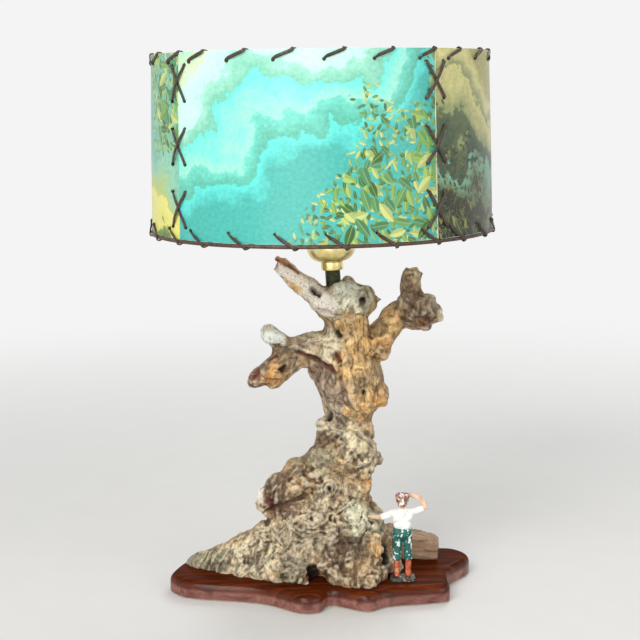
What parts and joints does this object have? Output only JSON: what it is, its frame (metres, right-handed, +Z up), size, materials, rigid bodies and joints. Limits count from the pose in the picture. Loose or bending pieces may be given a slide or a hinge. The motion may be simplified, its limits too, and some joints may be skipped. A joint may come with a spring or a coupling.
{
  "type": "driftwood table lamp",
  "caption": "Table lamp on a gnarled driftwood burl and wavy plaque, with a laced drum shade that clips on the bulb, tilts and turns.",
  "frame": {"origin": "on the table under the axis of the shade, at the underside of the felt", "axes": "+Z up, +X to the right as seen from the front, +Y away from the viewer"},
  "size_m": [0.2846, 0.2848, 0.4509],
  "materials": {
    "felt": "pressed wool felt",
    "mahogany": "dark red-brown varnish, rounded edge",
    "screw_steel": "zinc-plated steel",
    "bushing_plastic": "moulded nylon",
    "driftwood": "weathered burl, grey and orange-brown",
    "block_wood": "sawn and oiled",
    "figure_paint": "worn cold paint on a casting",
    "pipe_steel": "zinc-plated steel",
    "dark_steel": "oil-blackened steel",
    "socket_brass": "aged satin brass",
    "fibre": "vulcanised fibre paper",
    "phenolic": "moulded phenolic",
    "contact_brass": "bare stamped brass",
    "knob_plastic": "moulded brown plastic",
    "bulb_glass": "frosted glass",
    "bulb_metal": "rolled aluminium",
    "stem_glass": "clear glass stem with wire",
    "spring_wire": "tinned spring wire",
    "ring_wire": "brown lacquered wire",
    "front_print": "printed plastic-coated card, mint and turquoise",
    "right_print": "printed plastic-coated card, olive and ochre",
    "back_print": "printed plastic-coated card, mint and green",
    "left_print": "printed plastic-coated card, ochre and green",
    "lace": "flat waxed lace"
  },
  "bodies": {
    "stand": {"felt_pad": "felt", "base_plaque": "mahogany", "base_screws": "screw_steel", "cord_bushing": "bushing_plastic", "burl": "driftwood", "wood_block": "block_wood", "figure": "figure_paint", "lamp_pipe": "pipe_steel", "pipe_coupling": "dark_steel", "neck_collar": "socket_brass", "socket_cap": "socket_brass", "socket_shell": "socket_brass", "insulating_sleeve": "fibre", "switch_body": "phenolic", "screw_shell": "contact_brass", "centre_contact": "contact_brass", "terminal_screws": "contact_brass"},
    "switch": {"switch_stem": "pipe_steel", "switch_knob": "knob_plastic"},
    "bulb": {"bulb_glass": "bulb_glass", "bulb_base": "bulb_metal", "bulb_insulator": "phenolic", "bulb_contact": "bulb_metal", "filament_mount": "stem_glass"},
    "clip": {"bulb_clip": "spring_wire", "tilt_pin": "spring_wire"},
    "shade": {"spider": "spring_wire", "top_ring": "ring_wire", "bottom_ring": "ring_wire", "front_panel": "front_print", "right_panel": "right_print", "back_panel": "back_print", "left_panel": "left_print", "top_lacing": "lace", "bottom_lacing": "lace", "seam_lacing": "lace"}
  },
  "joints": [
    {"name": "switch_turn", "type": "hinge", "parent": "stand", "child": "switch", "pos_m": [0.00669, 0, 0.2982], "axis": [0.9986, 0, 0.0523], "continuous": true},
    {"name": "bulb_turn", "type": "hinge", "parent": "stand", "child": "bulb", "pos_m": [0.00618, 0, 0.30794], "axis": [-0.0523, 0, 0.9986], "continuous": true},
    {"name": "shade_turn", "type": "hinge", "parent": "bulb", "child": "clip", "pos_m": [0.00042, 0, 0.41779], "axis": [-0.0523, 0, 0.9986], "continuous": true},
    {"name": "shade_tilt", "type": "hinge", "parent": "clip", "child": "shade", "pos_m": [0, 0, 0.42577], "axis": [0, 1, 0], "range_deg": [-12, 12]}
  ]
}
